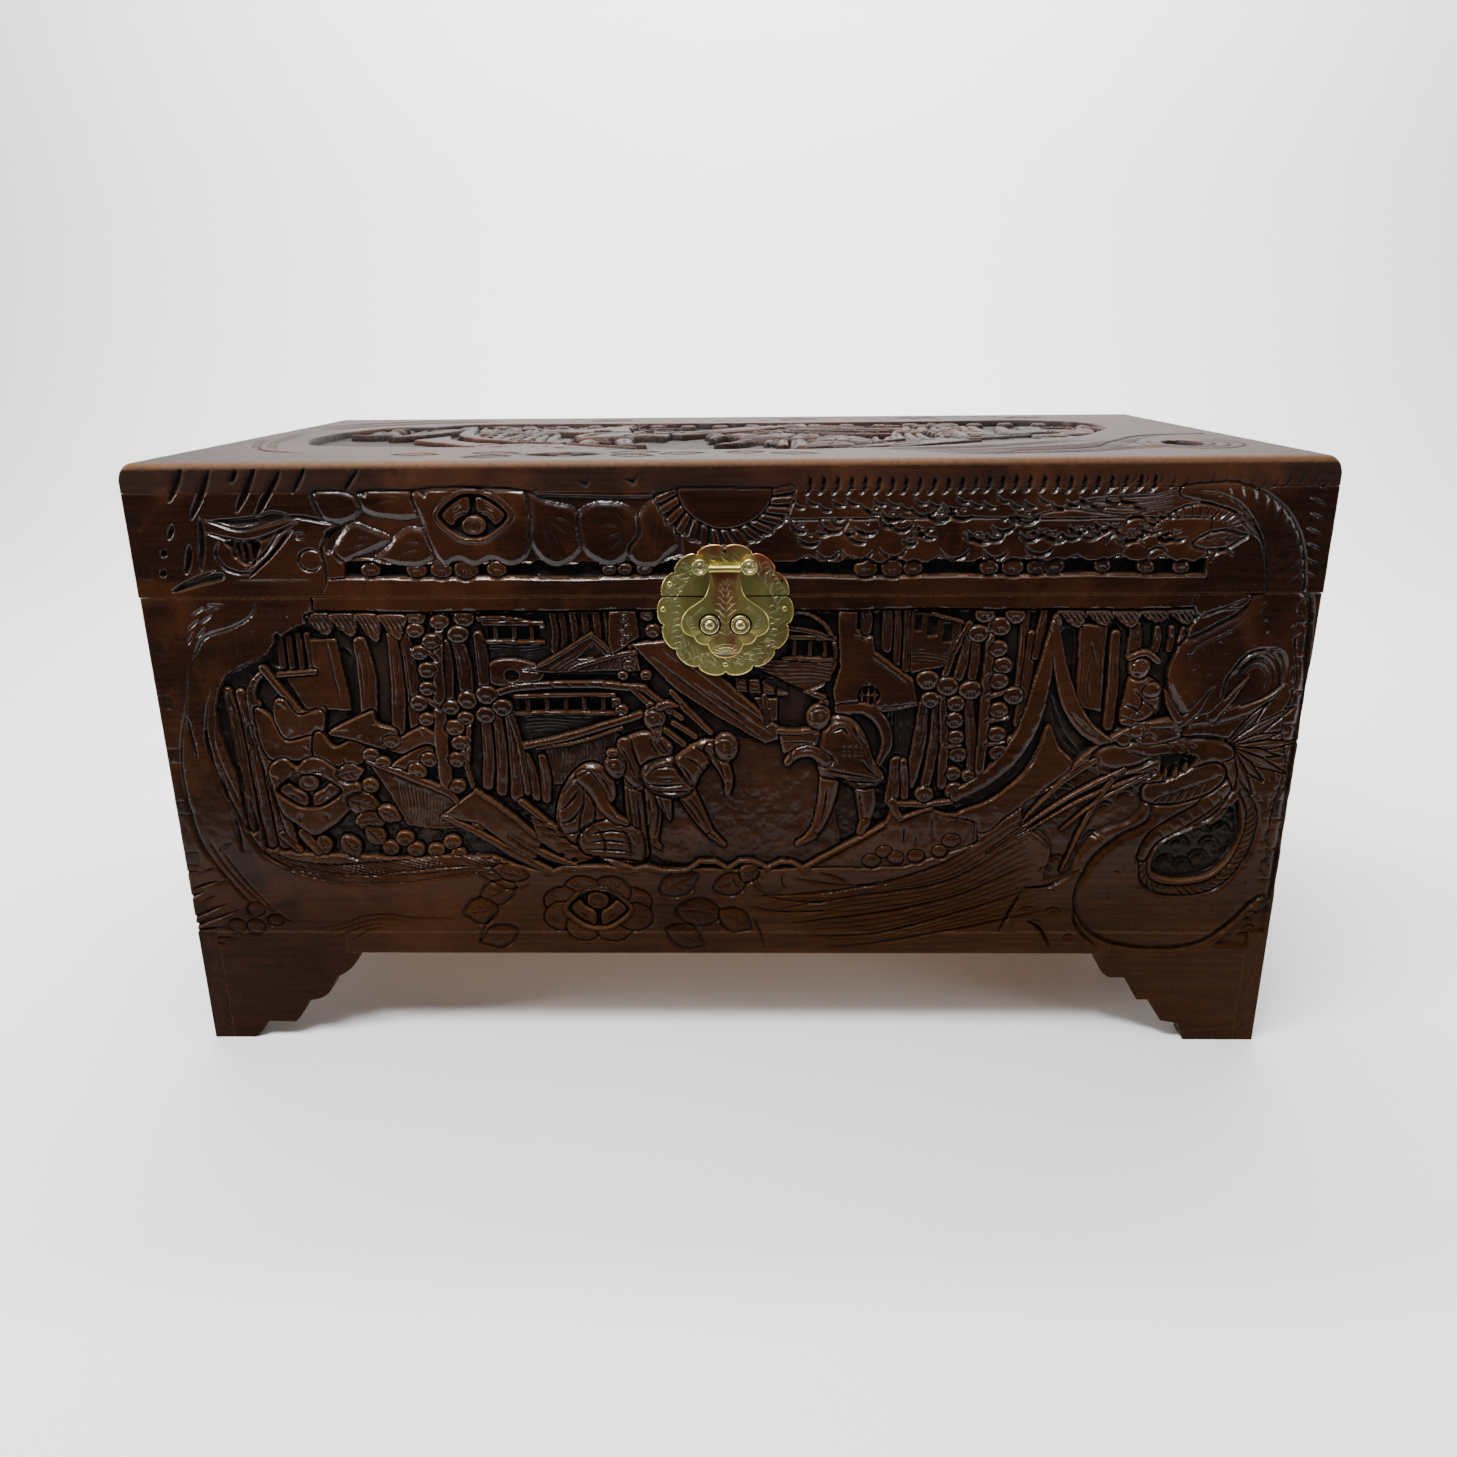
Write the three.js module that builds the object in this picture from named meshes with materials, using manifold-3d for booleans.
// Carved camphor-wood chest with a lift-up lid, a round brass lock plate and bracket feet.
// Millimetres, +Z up. The front faces -Y, the length runs along X, the feet stand on Z = 0.
import * as THREE from 'three';
import { mergeVertices } from 'three/addons/utils/BufferGeometryUtils.js';
import Module from 'manifold-3d';

const wasm = await Module();
wasm.setup();

// ---------------------------------------------------------------- driving dimensions
const GAP = 0.3;             // clearance left between pieces that touch
const LENGTH = 1000;         // body, along X
const DEPTH = 520;           // body, along Y
const FOOT_TOP = 93;         // underside of the base rails
const BODY_BOTTOM = 115;     // underside of the body panels
const JOINT = 436.5;         // where the lid meets the body
const LID_BOARD_BOTTOM = 525.5;
const HEIGHT = 550;          // top of the lid
const PANEL = 18;            // front and back panels
const SIDE_PANEL = 16;       // end panels, and the end rails of the lid
const LID_PANEL = 17;        // front and back rails of the lid
const BOTTOM_BOARD = 10;
const RAIL_WIDTH = 32;       // base rails, measured inwards from the face
const LID_OVERHANG = 1;      // lid beyond the body, each side

const HALF_L = LENGTH / 2;
const HALF_D = DEPTH / 2;

const BODY_DOVETAILS = { first: 142, pitch: 50, count: 6, outer: 11, inner: 15 };
const LID_DOVETAILS = { first: 460, pitch: 43, count: 2, outer: 11, inner: 15 };

const FOOT = { front: 20, side: 18, tabLeft: 139, tabRight: 144, block: 28, blockHeight: 84 };
const LIP = { width: 6, height: 20, stand: 7, tailGap: 4, stayRoom: 40 };

// Lock: a scalloped disc cut in two by the lid joint, with a hasp hung between two posts.
const LOCK = {
  centreZ: 423.5, valley: 53.8, tip: 58, lobes: 14, plate: 1.6,
  postX: 20.5, postZ: 463, postRadius: 6.4, postLength: 12.4,
  barrelZ: 461, barrelOut: 7, barrelRadius: 3.4, barrelHalf: 13,
  padX: 13, padZ: 413, padRadius: 8.2, holeRadius: 9.6,
  sheetBack: 3.4, sheetFront: 5.6, pinRadius: 1.3, shank: 3, shankDepth: 14,
};
const NAILS = {
  nail_upper_left: [-46.5, 447.5],
  nail_lower_left: [-52.5, 425.5],
  nail_lower_right: [50.5, 425.5],
  nail_lower_bottom: [0, 376.5],
};
const EMPTY_NAIL_HOLES = [[48, 449.5], [0, 474.5]];
const NAIL = { shank: 1.1, head: 2.4, rise: 1.2, length: 13 };

// Back hinges: surface-mounted brass butts with three knuckles each.
const HINGE = { axisOut: 3.6, radius: 3.2, pin: 1.3, leaf: 1.7, width: 66, height: 32, centres: [-300, 300] };
const SCREW = { shank: 1.7, head: 3.4, depth: 14, inset: 20, drop: 20 };

// Lid stay: a parallelogram with the hinge axis, on the inside of the right-hand end.
const STAY = {
  footForward: 130, footDown: 60, headForward: 120, headUp: 25,
  armWidth: 14, armThickness: 2, pivot: 3, plate: 2, lowerX: 477, upperX: 474.4,
};

// ---------------------------------------------------------------- finishes
const finish = (color, roughness, metalness) => ({ color, roughness, metalness });
const LACQUER = finish(0x5a2c18, 0.35, 0);
const RAW_WOOD = finish(0xb58a5c, 0.7, 0);
const BRASS = finish(0x9a8a48, 0.38, 1);
const COPPERY = finish(0x9a6a3c, 0.4, 1);

// ---------------------------------------------------------------- geometry helpers
function toManifold(geometry) {
  const bare = geometry.clone();
  bare.deleteAttribute('normal');
  bare.deleteAttribute('uv');
  const merged = mergeVertices(bare, 1e-4);
  return new wasm.Manifold(new wasm.Mesh({
    numProp: 3,
    vertProperties: new Float32Array(merged.attributes.position.array),
    triVerts: new Uint32Array(merged.index.array),
  }));
}

function toGeometry(solid) {
  const mesh = solid.getMesh();
  const geometry = new THREE.BufferGeometry();
  geometry.setAttribute('position', new THREE.BufferAttribute(mesh.vertProperties, 3));
  geometry.setIndex(new THREE.BufferAttribute(mesh.triVerts, 1));
  geometry.computeVertexNormals();
  return geometry;
}

function join(...geometries) {
  return toGeometry(geometries.map(toManifold).reduce((whole, next) => whole.add(next)));
}

function cut(geometry, ...tools) {
  return toGeometry(tools.map(toManifold).reduce((rest, tool) => rest.subtract(tool), toManifold(geometry)));
}

function box(x0, x1, y0, y1, z0, z1) {
  const geometry = new THREE.BoxGeometry(x1 - x0, y1 - y0, z1 - z0);
  return geometry.translate((x0 + x1) / 2, (y0 + y1) / 2, (z0 + z1) / 2);
}

const PLAIN_SLAB = { bevelEnabled: false, curveSegments: 6 };

// A shape drawn in X and Z, extruded from y0 to y1.
function slabXZ(shape, y0, y1) {
  const geometry = new THREE.ExtrudeGeometry(shape, { depth: y1 - y0, ...PLAIN_SLAB });
  return geometry.rotateX(Math.PI / 2).translate(0, y1, 0);
}

// A shape drawn in Y (first) and Z (second), extruded from x0 to x1.
function slabYZ(shape, x0, x1) {
  const geometry = new THREE.ExtrudeGeometry(shape, { depth: x1 - x0, ...PLAIN_SLAB });
  const turn = new THREE.Matrix4().set(0, 0, 1, 0, 1, 0, 0, 0, 0, 1, 0, 0, 0, 0, 0, 1);
  return geometry.applyMatrix4(turn).translate(x0, 0, 0);
}

function rodX(radius, x0, x1, y, z, segments = 20) {
  const geometry = new THREE.CylinderGeometry(radius, radius, x1 - x0, segments);
  return geometry.rotateZ(Math.PI / 2).translate((x0 + x1) / 2, y, z);
}

function rodY(radius, y0, y1, x, z, segments = 20) {
  return new THREE.CylinderGeometry(radius, radius, y1 - y0, segments).translate(x, (y0 + y1) / 2, z);
}

// A turned piece on an axis along Y: profile points are [radius, distance in front of the face].
function turnedOutwards(profile, x, z, faceY, segments = 20) {
  const points = profile.map(([radius, out]) => new THREE.Vector2(radius, out));
  return new THREE.LatheGeometry(points, segments).rotateX(Math.PI).translate(x, faceY, z);
}

// ---------------------------------------------------------------- scene graph
const chest = new THREE.Group();
const body = new THREE.Group();
const lid = new THREE.Group();
chest.add(body, lid);

function place(group, name, geometry, look) {
  const mesh = new THREE.Mesh(geometry, new THREE.MeshStandardMaterial(look));
  mesh.name = name;
  group.add(mesh);
  return mesh;
}

// ---------------------------------------------------------------- dovetailed corners
function pinHeights({ first, pitch, count }) {
  return Array.from({ length: count }, (_, i) => first + i * pitch);
}

// One pin seen from the front: narrow at the outer end, wide at the shoulder. side is -1 or 1.
function pinShape(side, end, length, z, outer, inner, clearance) {
  const shape = new THREE.Shape();
  const shoulder = end - side * (length + clearance);
  shape.moveTo(end, z - outer / 2 - clearance);
  shape.lineTo(end, z + outer / 2 + clearance);
  shape.lineTo(shoulder, z + inner / 2 + clearance);
  shape.lineTo(shoulder, z - inner / 2 - clearance);
  shape.closePath();
  return shape;
}

function pinSlabs(joint, side, end, length, clearance, y0, y1) {
  return pinHeights(joint).map((z) => {
    const shape = pinShape(side, end, length, z, joint.outer, joint.inner, clearance);
    return slabXZ(shape, y0, y1);
  });
}

// A board whose two ends carry tails: its end sockets let the pins of the end boards through.
function tailBoard(joint, half, length, y0, y1, z0, z1) {
  const past = 1;
  const slope = (joint.inner - joint.outer) / length;
  const socket = { ...joint, outer: joint.outer - slope * past };
  const sockets = [-1, 1].flatMap((side) => (
    pinSlabs(socket, side, side * (half + past), length + past, GAP, y0 - past, y1 + past)));
  return cut(box(-half, half, y0, y1, z0, z1), ...sockets);
}

// An end board: a plain core between the tail boards, with pins that reach their outer faces.
function pinBoard(joint, side, half, thickness, tailThickness, z0, z1) {
  const outer = side * half;
  const inner = side * (half - thickness);
  const reach = HALF_D - tailThickness;
  const core = box(Math.min(outer, inner), Math.max(outer, inner), -reach + GAP, reach - GAP, z0, z1);
  const root = 1;
  const front = pinSlabs(joint, side, outer, thickness, 0, -HALF_D, -reach + GAP + root);
  const back = pinSlabs(joint, side, outer, thickness, 0, reach - GAP - root, HALF_D);
  return join(core, ...front, ...back);
}

// ---------------------------------------------------------------- lock outline
const polar = (radius, angle) => [radius * Math.cos(angle), LOCK.centreZ + radius * Math.sin(angle)];

// The scalloped disc, as one closed shape: a bulging arc between each pair of valleys.
function scallopedDisc(segmentsPerLobe) {
  const step = (2 * Math.PI) / LOCK.lobes;
  const shape = new THREE.Shape();
  shape.moveTo(...polar(LOCK.valley, Math.PI / 2));
  for (let lobe = 0; lobe < LOCK.lobes; lobe += 1) {
    const start = Math.PI / 2 + lobe * step;
    for (let k = 1; k <= segmentsPerLobe; k += 1) {
      const t = k / segmentsPerLobe;
      const bulge = Math.sqrt(Math.sin(Math.PI * t));
      const radius = LOCK.valley + (LOCK.tip - LOCK.valley) * (k === segmentsPerLobe ? 0 : bulge);
      shape.lineTo(...polar(radius, start + step * t));
    }
  }
  return shape;
}

const FACE = -HALF_D - GAP;                      // back of the lock plates
const out = (distance) => -HALF_D - distance;    // a plane in front of the front face

function lockPlate(upper) {
  const disc = slabXZ(scallopedDisc(8), out(LOCK.plate + GAP), FACE);
  const low = upper ? JOINT + GAP : 0;
  const high = upper ? HEIGHT : JOINT - GAP;
  const half = toManifold(disc).intersect(toManifold(box(-90, 90, out(20), out(-20), low, high)));
  const inHalf = (z) => z > low && z < high;
  const nailSpots = [...Object.values(NAILS), ...EMPTY_NAIL_HOLES].filter(([, z]) => inHalf(z));
  const posts = [[LOCK.postX, LOCK.postZ], [LOCK.padX, LOCK.padZ]].filter(([, z]) => inHalf(z));
  const through = (radius, x, z, segments) => rodY(radius + GAP, out(20), out(-20), x, z, segments);
  const holes = [
    ...nailSpots.map(([x, z]) => through(NAIL.shank, x, z, 12)),
    ...posts.flatMap(([x, z]) => [-x, x].map((px) => through(LOCK.shank, px, z, 16))),
  ];
  return cut(toGeometry(half), ...holes);
}

// ---------------------------------------------------------------- lock fittings
// Upper post: it carries the hasp pin in a cross hole.
function upperPost(side) {
  const seat = LOCK.plate + 2 * GAP;
  const profile = [
    [0, -LOCK.shankDepth], [LOCK.shank, -LOCK.shankDepth], [LOCK.shank, seat], [5.6, seat], [5.6, seat + 1],
    [5.1, seat + 1.6], [5.1, 9], [LOCK.postRadius, 9.8], [LOCK.postRadius, 10.8], [5.6, 11.6],
    [4.4, 11.2], [3.8, 11.4], [3, 12.1], [1.6, LOCK.postLength - 0.1], [0, LOCK.postLength],
  ];
  const post = turnedOutwards(profile, side * LOCK.postX, LOCK.postZ, -HALF_D);
  const inner = side * (LOCK.postX - 8);
  const blindEnd = side * (LOCK.postX + 2);
  const cross = rodX(LOCK.pinRadius + GAP, Math.min(inner, blindEnd), Math.max(inner, blindEnd),
    out(LOCK.barrelOut), LOCK.barrelZ, 14);
  return cut(post, cross);
}

// Lower post: a short boss that ends just behind the hasp, so that the lid can lift the hasp off it.
function lowerPost(side) {
  const seat = LOCK.plate + 2 * GAP;
  const end = LOCK.sheetBack - GAP;
  const profile = [
    [0, -LOCK.shankDepth], [LOCK.shank, -LOCK.shankDepth], [LOCK.shank, seat], [LOCK.padRadius, seat],
    [LOCK.padRadius, end - 0.3], [LOCK.padRadius - 0.3, end], [0, end],
  ];
  return turnedOutwards(profile, side * LOCK.padX, LOCK.padZ, -HALF_D, 24);
}

// The bell outline: straight under the barrel, sweeping out, with a cusped foot. Each step is a
// control point and an end point; the left half repeats the right half in reverse.
const HASP_TOP = 450;
const HASP_CURVE = [
  [[14, 441], [18, 436]], [[21, 433], [28, 428.5]], [[37.5, 422], [37.5, 412.5]],
  [[37, 403.5], [26.5, 402]], [[24.5, 394], [15, 395]], [[12, 383], [0, 383]],
];

function haspShape() {
  const shape = new THREE.Shape();
  shape.moveTo(LOCK.barrelHalf, LOCK.barrelZ);
  shape.lineTo(LOCK.barrelHalf, HASP_TOP);
  for (const [control, end] of HASP_CURVE) {
    shape.quadraticCurveTo(...control, ...end);
  }
  const ends = [[LOCK.barrelHalf, HASP_TOP], ...HASP_CURVE.map(([, end]) => end)];
  for (let k = HASP_CURVE.length - 1; k >= 0; k -= 1) {
    const [controlX, controlZ] = HASP_CURVE[k][0];
    shape.quadraticCurveTo(-controlX, controlZ, -ends[k][0], ends[k][1]);
  }
  shape.lineTo(-LOCK.barrelHalf, LOCK.barrelZ);
  shape.closePath();
  return shape;
}

function hasp() {
  const sheet = slabXZ(haspShape(), out(LOCK.sheetFront), out(LOCK.sheetBack));
  const half = LOCK.barrelHalf;
  const barrel = rodX(LOCK.barrelRadius, -half, half, out(LOCK.barrelOut), LOCK.barrelZ, 24);
  const bore = rodX(LOCK.pinRadius + GAP, -half - 2, half + 2, out(LOCK.barrelOut), LOCK.barrelZ, 14);
  const holes = [-1, 1].map((side) => (
    rodY(LOCK.holeRadius, out(20), out(0), side * LOCK.padX, LOCK.padZ, 24)));
  return cut(join(sheet, barrel), bore, ...holes);
}

function nail(x, z) {
  const seat = LOCK.plate + 2 * GAP;
  const profile = [
    [0, -NAIL.length], [NAIL.shank, -NAIL.length + 3], [NAIL.shank, seat], [NAIL.head, seat],
    [NAIL.head * 0.8, seat + NAIL.rise * 0.6], [NAIL.head * 0.4, seat + NAIL.rise * 0.92],
    [0, seat + NAIL.rise],
  ];
  return turnedOutwards(profile, x, z, -HALF_D, 12);
}

// Blind holes in the wood behind the lock for every shank between two heights.
function lockHoles(z0, z1) {
  const deep = out(-LOCK.shankDepth - 1);
  const posts = [[LOCK.postX, LOCK.postZ], [LOCK.padX, LOCK.padZ]].flatMap(([x, z]) => [[x, z], [-x, z]]);
  const wide = posts.map(([x, z]) => ({ x, z, radius: LOCK.shank + GAP, segments: 16 }));
  const fine = Object.values(NAILS).map(([x, z]) => ({ x, z, radius: NAIL.shank + GAP, segments: 12 }));
  return [...wide, ...fine].filter(({ z }) => z > z0 && z < z1)
    .map(({ x, z, radius, segments }) => rodY(radius, out(1), deep, x, z, segments));
}

// ---------------------------------------------------------------- hinge fittings
const HINGE_Y = HALF_D + HINGE.axisOut;
const LEAF_FRONT = HALF_D + GAP;
const KNUCKLE = HINGE.width / 3;

function screwSpots(centre, up) {
  return [-1, 1].map((side) => [centre + side * SCREW.inset, JOINT + up * SCREW.drop]);
}

function hingeScrew(x, z) {
  const flush = LEAF_FRONT + HINGE.leaf + 0.5;
  const profile = [
    [0, -SCREW.depth], [SCREW.shank * 0.4, -SCREW.depth + 1], [SCREW.shank, -SCREW.depth + 5],
    [SCREW.shank, LEAF_FRONT - HALF_D + HINGE.leaf + GAP],
    [SCREW.head, LEAF_FRONT - HALF_D + HINGE.leaf + GAP], [SCREW.head * 0.8, flush - HALF_D + 0.2],
    [0, flush - HALF_D + 0.6],
  ];
  const points = profile.map(([radius, distance]) => new THREE.Vector2(radius, distance));
  return new THREE.LatheGeometry(points, 12).translate(x, HALF_D, z);
}

function screwHole(x, z, from, to) {
  return rodY(SCREW.shank + GAP, from, to, x, z, 12);
}

// One leaf with its knuckles. up is 1 for the lid leaf, -1 for the body leaf.
function hingeLeaf(centre, up) {
  const half = HINGE.width / 2;
  const clear = HINGE.radius + 0.5;
  const backY = LEAF_FRONT + HINGE.leaf;
  const zs = (near, far) => (up > 0 ? [JOINT + near, JOINT + far] : [JOINT - far, JOINT - near]);
  const plate = box(centre - half, centre + half, LEAF_FRONT, backY, ...zs(clear, HINGE.height));
  const spans = up > 0 ? [[-KNUCKLE / 2 + GAP, KNUCKLE / 2 - GAP]]
    : [[-half, -KNUCKLE / 2 - GAP], [KNUCKLE / 2 + GAP, half]];
  const knuckles = spans.flatMap(([a, b]) => [
    box(centre + a, centre + b, LEAF_FRONT, backY, ...zs(0.2, clear + 1)),
    rodX(HINGE.radius, centre + a, centre + b, HINGE_Y, JOINT, 20),
  ]);
  const bore = rodX(HINGE.pin + GAP, centre - half - 1, centre + half + 1, HINGE_Y, JOINT, 14);
  const holes = screwSpots(centre, up).map(([x, z]) => screwHole(x, z, LEAF_FRONT - 1, backY + 1));
  return cut(join(plate, ...knuckles), bore, ...holes);
}

function hingePin(centre) {
  const half = HINGE.width / 2;
  const rod = rodX(HINGE.pin, centre - half - 1, centre + half + 1, HINGE_Y, JOINT, 14);
  const heads = [-1, 1].map((side) => {
    const inner = centre + side * (half + GAP);
    const outer = centre + side * (half + 2.2);
    return rodX(2.4, Math.min(inner, outer), Math.max(inner, outer), HINGE_Y, JOINT, 14);
  });
  return join(rod, ...heads);
}

function hingeScrewHolesIn(up) {
  return HINGE.centres.flatMap((centre) => screwSpots(centre, up))
    .map(([x, z]) => screwHole(x, z, HALF_D - SCREW.depth - 1, HALF_D + 1));
}

// ---------------------------------------------------------------- lid stay
const STAY_FOOT = [HINGE_Y - STAY.footForward, JOINT - STAY.footDown];
const STAY_HEAD = [HINGE_Y - STAY.headForward, JOINT + STAY.headUp];
const STAY_ELBOW = [
  HINGE_Y - STAY.footForward - STAY.headForward,
  JOINT - STAY.footDown + STAY.headUp,
];

// A flat bar with round ends between two pivots, drawn in Y and Z.
function barShape([ay, az], [by, bz], radius) {
  const angle = Math.atan2(bz - az, by - ay);
  const shape = new THREE.Shape();
  shape.absarc(by, bz, radius, angle - Math.PI / 2, angle + Math.PI / 2, false);
  shape.absarc(ay, az, radius, angle + Math.PI / 2, angle + (3 * Math.PI) / 2, false);
  shape.closePath();
  return shape;
}

function stayArm(from, to, x, holes) {
  const bar = slabYZ(barShape(from, to, STAY.armWidth / 2), x, x + STAY.armThickness);
  const cuts = holes.map(([y, z]) => rodX(STAY.pivot + GAP, x - 1, x + STAY.armThickness + 1, y, z, 18));
  return cut(bar, ...cuts);
}

// A screwed plate on the inside of the end wall, with its pivot stud and a retaining head.
function stayBracket([y, z], wallX, armX, [halfY, halfZ]) {
  const plate = box(wallX - STAY.plate, wallX, y - halfY, y + halfY, z - halfZ, z + halfZ);
  const boss = rodX(STAY.pivot + 2, armX + STAY.armThickness + GAP, wallX - 1, y, z, 18);
  const stud = rodX(STAY.pivot, armX - 0.6, wallX - 1, y, z, 18);
  const head = rodX(STAY.pivot + 1.6, armX - 1.4, armX - GAP, y, z, 18);
  return join(plate, boss, stud, head);
}

// The rivet rides in the lower arm; the upper arm hangs on it with clearance.
function elbowRivet() {
  const [y, z] = STAY_ELBOW;
  const outerHead = rodX(STAY.pivot + 1.6, STAY.lowerX + STAY.armThickness + GAP,
    STAY.lowerX + STAY.armThickness + 1.4, y, z, 18);
  const shank = rodX(STAY.pivot, STAY.upperX - 0.6, STAY.lowerX + STAY.armThickness + 1, y, z, 18);
  const innerHead = rodX(STAY.pivot + 1.6, STAY.upperX - 1.4, STAY.upperX - GAP, y, z, 18);
  return join(outerHead, shank, innerHead);
}

// ---------------------------------------------------------------- body: panels and base
const frontPanel = tailBoard(BODY_DOVETAILS, HALF_L, SIDE_PANEL, -HALF_D, -HALF_D + PANEL,
  BODY_BOTTOM + GAP, JOINT - GAP);
place(body, 'front_panel', cut(frontPanel, ...lockHoles(0, JOINT)), LACQUER);

const backPanel = tailBoard(BODY_DOVETAILS, HALF_L, SIDE_PANEL, HALF_D - PANEL, HALF_D,
  BODY_BOTTOM + GAP, JOINT - GAP);
place(body, 'back_panel', cut(backPanel, ...hingeScrewHolesIn(-1)), LACQUER);

for (const [name, side] of [['left_side_panel', -1], ['right_side_panel', 1]]) {
  place(body, name,
    pinBoard(BODY_DOVETAILS, side, HALF_L, SIDE_PANEL, PANEL, BODY_BOTTOM + GAP, JOINT - GAP), LACQUER);
}

const insideX = HALF_L - SIDE_PANEL - GAP;
const insideY = HALF_D - PANEL - GAP;
place(body, 'bottom_board',
  box(-insideX, insideX, -insideY, insideY, BODY_BOTTOM + GAP, BODY_BOTTOM + BOTTOM_BOARD), RAW_WOOD);

// Base rails: a skirt under the panels, let in between the upright tabs of the foot brackets.
const railX0 = -HALF_L + FOOT.tabLeft + GAP;
const railX1 = HALF_L - FOOT.tabRight - GAP;
const railY = HALF_D - FOOT.tabLeft - GAP;
const baseRail = (x0, x1, y0, y1) => box(x0, x1, y0, y1, FOOT_TOP + GAP, BODY_BOTTOM);
place(body, 'base_rail_front', baseRail(railX0, railX1, -HALF_D, -HALF_D + RAIL_WIDTH), LACQUER);
place(body, 'base_rail_back', baseRail(railX0, railX1, HALF_D - RAIL_WIDTH, HALF_D), LACQUER);
place(body, 'base_rail_left', baseRail(-HALF_L, -HALF_L + RAIL_WIDTH, -railY, railY), LACQUER);
place(body, 'base_rail_right', baseRail(HALF_L - RAIL_WIDTH, HALF_L, -railY, railY), LACQUER);

// ---------------------------------------------------------------- body: bracket feet
// The sawn edge of a bracket, from its toe up to the rail. run is the distance from the corner.
function softFootEdge(shape, at) {
  shape.lineTo(...at(38, 0));
  shape.quadraticCurveTo(...at(45, 3), ...at(54, 18));
  shape.lineTo(...at(81, 17.5));
  shape.quadraticCurveTo(...at(92, 29), ...at(96, 41.5));
  shape.quadraticCurveTo(...at(120, 42), ...at(124, 66));
  shape.quadraticCurveTo(...at(142, 72), ...at(153, FOOT_TOP));
}

function sharpFootEdge(shape, at) {
  shape.lineTo(...at(66, 0));
  shape.lineTo(...at(72, 18));
  shape.lineTo(...at(89, 21));
  shape.lineTo(...at(104, 44));
  shape.lineTo(...at(114, 44));
  shape.lineTo(...at(128, 68));
  shape.lineTo(...at(142, 68));
  shape.quadraticCurveTo(...at(153, 72), ...at(157, FOOT_TOP));
}

// A bracket drawn from run = start: the tab on top fills the height of the rail beside it.
function bracketShape(edge, tab, start, sign, corner) {
  const shape = new THREE.Shape();
  const at = (run, z) => [corner - sign * run, z];
  shape.moveTo(...at(start, 0));
  edge(shape, at);
  shape.lineTo(...at(tab, FOOT_TOP));
  shape.lineTo(...at(tab, BODY_BOTTOM));
  shape.lineTo(...at(start, BODY_BOTTOM));
  shape.closePath();
  return shape;
}

for (const [end, side] of [['left', -1], ['right', 1]]) {
  for (const [face, depthSide] of [['front', -1], ['back', 1]]) {
    const edge = end === 'left' ? softFootEdge : sharpFootEdge;
    const tab = end === 'left' ? FOOT.tabLeft : FOOT.tabRight;
    const faceY = depthSide * HALF_D;
    const innerY = depthSide * (HALF_D - FOOT.front);
    const broad = slabXZ(bracketShape(edge, tab, FOOT.side + GAP, side, side * HALF_L),
      Math.min(faceY, innerY), Math.max(faceY, innerY));
    place(body, `foot_${face}_${end}_broad`, broad, LACQUER);

    const outerX = side * HALF_L;
    const innerX = side * (HALF_L - FOOT.side);
    const returned = slabYZ(bracketShape(softFootEdge, FOOT.tabLeft, 0, depthSide, depthSide * HALF_D),
      Math.min(outerX, innerX), Math.max(outerX, innerX));
    place(body, `foot_${face}_${end}_return`, returned, LACQUER);

    const blockX = side * (HALF_L - FOOT.side - GAP - FOOT.block / 2);
    const blockY = depthSide * (HALF_D - FOOT.front - GAP - FOOT.block / 2);
    const block = new THREE.BoxGeometry(FOOT.block, FOOT.block, FOOT.blockHeight);
    block.translate(blockX, blockY, BODY_BOTTOM - FOOT.blockHeight / 2);
    place(body, `glue_block_${face}_${end}`, block, RAW_WOOD);
  }
}

// ---------------------------------------------------------------- body: dust lip inside the rim
const lipZ0 = JOINT + LIP.stand - LIP.height;
const lipZ1 = JOINT + LIP.stand;
const lipBackY = STAY_ELBOW[0] - LIP.stayRoom;
place(body, 'lip_front', box(-insideX + LIP.width + GAP, insideX - LIP.width - GAP, -insideY,
  -insideY + LIP.width, lipZ0, lipZ1), RAW_WOOD);
place(body, 'lip_left',
  box(-insideX, -insideX + LIP.width, -insideY, insideY - LIP.tailGap, lipZ0, lipZ1), RAW_WOOD);
place(body, 'lip_right', box(insideX - LIP.width, insideX, -insideY, lipBackY, lipZ0, lipZ1), RAW_WOOD);

// ---------------------------------------------------------------- lid
const lidHalfL = HALF_L + LID_OVERHANG;
const lidZ0 = JOINT + GAP;
const lidZ1 = LID_BOARD_BOTTOM - GAP;
const lidFront = tailBoard(LID_DOVETAILS, lidHalfL, SIDE_PANEL, -HALF_D, -HALF_D + LID_PANEL, lidZ0, lidZ1);
place(lid, 'lid_rail_front', cut(lidFront, ...lockHoles(JOINT, HEIGHT)), LACQUER);
const lidBack = tailBoard(LID_DOVETAILS, lidHalfL, SIDE_PANEL, HALF_D - LID_PANEL, HALF_D, lidZ0, lidZ1);
place(lid, 'lid_rail_back', cut(lidBack, ...hingeScrewHolesIn(1)), LACQUER);
for (const [name, side] of [['lid_rail_left', -1], ['lid_rail_right', 1]]) {
  place(lid, name, pinBoard(LID_DOVETAILS, side, lidHalfL, SIDE_PANEL, LID_PANEL, lidZ0, lidZ1), LACQUER);
}

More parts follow.
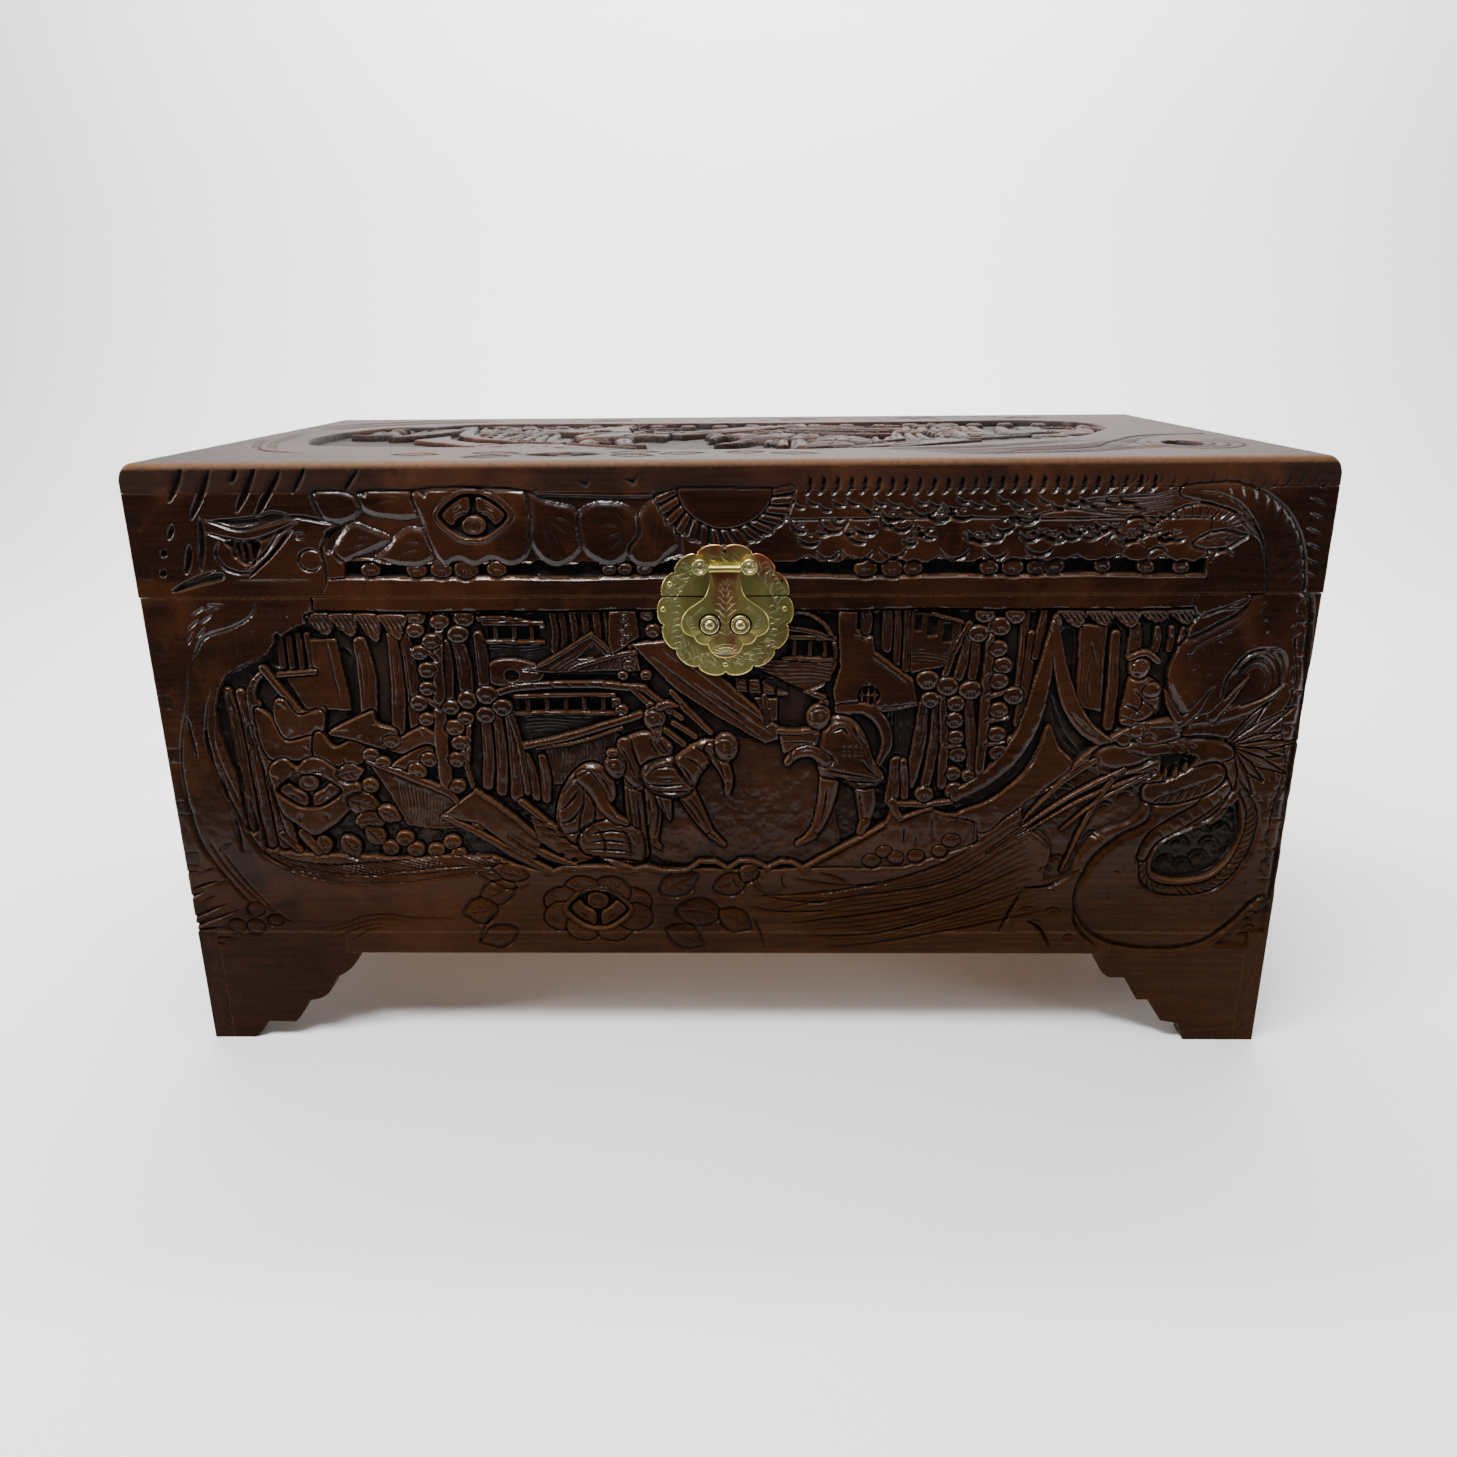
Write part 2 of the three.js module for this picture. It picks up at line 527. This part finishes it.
// The lid board has a rounded upper edge all round.
function lidBoard() {
  const round = 9;
  const halfX = lidHalfL - round;
  const halfY = HALF_D - round;
  const shape = new THREE.Shape();
  shape.moveTo(-halfX, -halfY);
  shape.lineTo(halfX, -halfY);
  shape.lineTo(halfX, halfY);
  shape.lineTo(-halfX, halfY);
  shape.closePath();
  const thickness = HEIGHT - LID_BOARD_BOTTOM;
  const rounded = new THREE.ExtrudeGeometry(shape, {
    depth: thickness, bevelEnabled: true, bevelThickness: round, bevelSize: round, bevelSegments: 5,
  }).translate(0, 0, HEIGHT - thickness - round);
  const keep = box(-LENGTH, LENGTH, -LENGTH, LENGTH, LID_BOARD_BOTTOM, HEIGHT + 1);
  return toGeometry(toManifold(rounded).intersect(toManifold(keep)));
}
place(lid, 'lid_board', lidBoard(), LACQUER);

// ---------------------------------------------------------------- lock
place(lid, 'lock_plate_upper', lockPlate(true), COPPERY);
place(body, 'lock_plate_lower', lockPlate(false), BRASS);
place(lid, 'hasp', hasp(), COPPERY);
const pinReach = LOCK.postX + 1.5;
place(lid, 'hasp_pin',
  rodX(LOCK.pinRadius, -pinReach, pinReach, out(LOCK.barrelOut), LOCK.barrelZ, 14), BRASS);
for (const [end, side] of [['left', -1], ['right', 1]]) {
  place(lid, `lock_post_upper_${end}`, upperPost(side), BRASS);
  place(body, `lock_post_lower_${end}`, lowerPost(side), BRASS);
}
for (const [name, [x, z]] of Object.entries(NAILS)) {
  place(z > JOINT ? lid : body, name, nail(x, z), BRASS);
}

// ---------------------------------------------------------------- hinges
for (const [index, centre] of HINGE.centres.entries()) {
  const end = index === 0 ? 'left' : 'right';
  place(body, `hinge_${end}_body_leaf`, hingeLeaf(centre, -1), BRASS);
  place(lid, `hinge_${end}_lid_leaf`, hingeLeaf(centre, 1), BRASS);
  place(body, `hinge_${end}_pin`, hingePin(centre), BRASS);
  for (const [row, up, group] of [['lower', -1, body], ['upper', 1, lid]]) {
    screwSpots(centre, up).forEach(([x, z], k) => {
      place(group, `hinge_${end}_screw_${row}_${k + 1}`, hingeScrew(x, z), BRASS);
    });
  }
}

// ---------------------------------------------------------------- lid stay
const bodyWallX = HALF_L - SIDE_PANEL - GAP;
const lidWallX = lidHalfL - SIDE_PANEL - GAP;
place(body, 'stay_bracket_body', stayBracket(STAY_FOOT, bodyWallX, STAY.lowerX, [9, 24]), BRASS);
place(lid, 'stay_bracket_lid', stayBracket(STAY_HEAD, lidWallX, STAY.upperX, [24, 9]), BRASS);
place(body, 'stay_arm_lower', stayArm(STAY_FOOT, STAY_ELBOW, STAY.lowerX, [STAY_FOOT, STAY_ELBOW]), BRASS);
place(lid, 'stay_arm_upper', stayArm(STAY_HEAD, STAY_ELBOW, STAY.upperX, [STAY_HEAD, STAY_ELBOW]), BRASS);
place(body, 'stay_elbow_rivet', elbowRivet(), BRASS);

// The origin sits under the middle of the whole object, lock and hinges included.
const frontReach = LOCK.postLength;
const backReach = HINGE.axisOut + HINGE.radius;
chest.position.y = (frontReach - backReach) / 2;

export default chest;
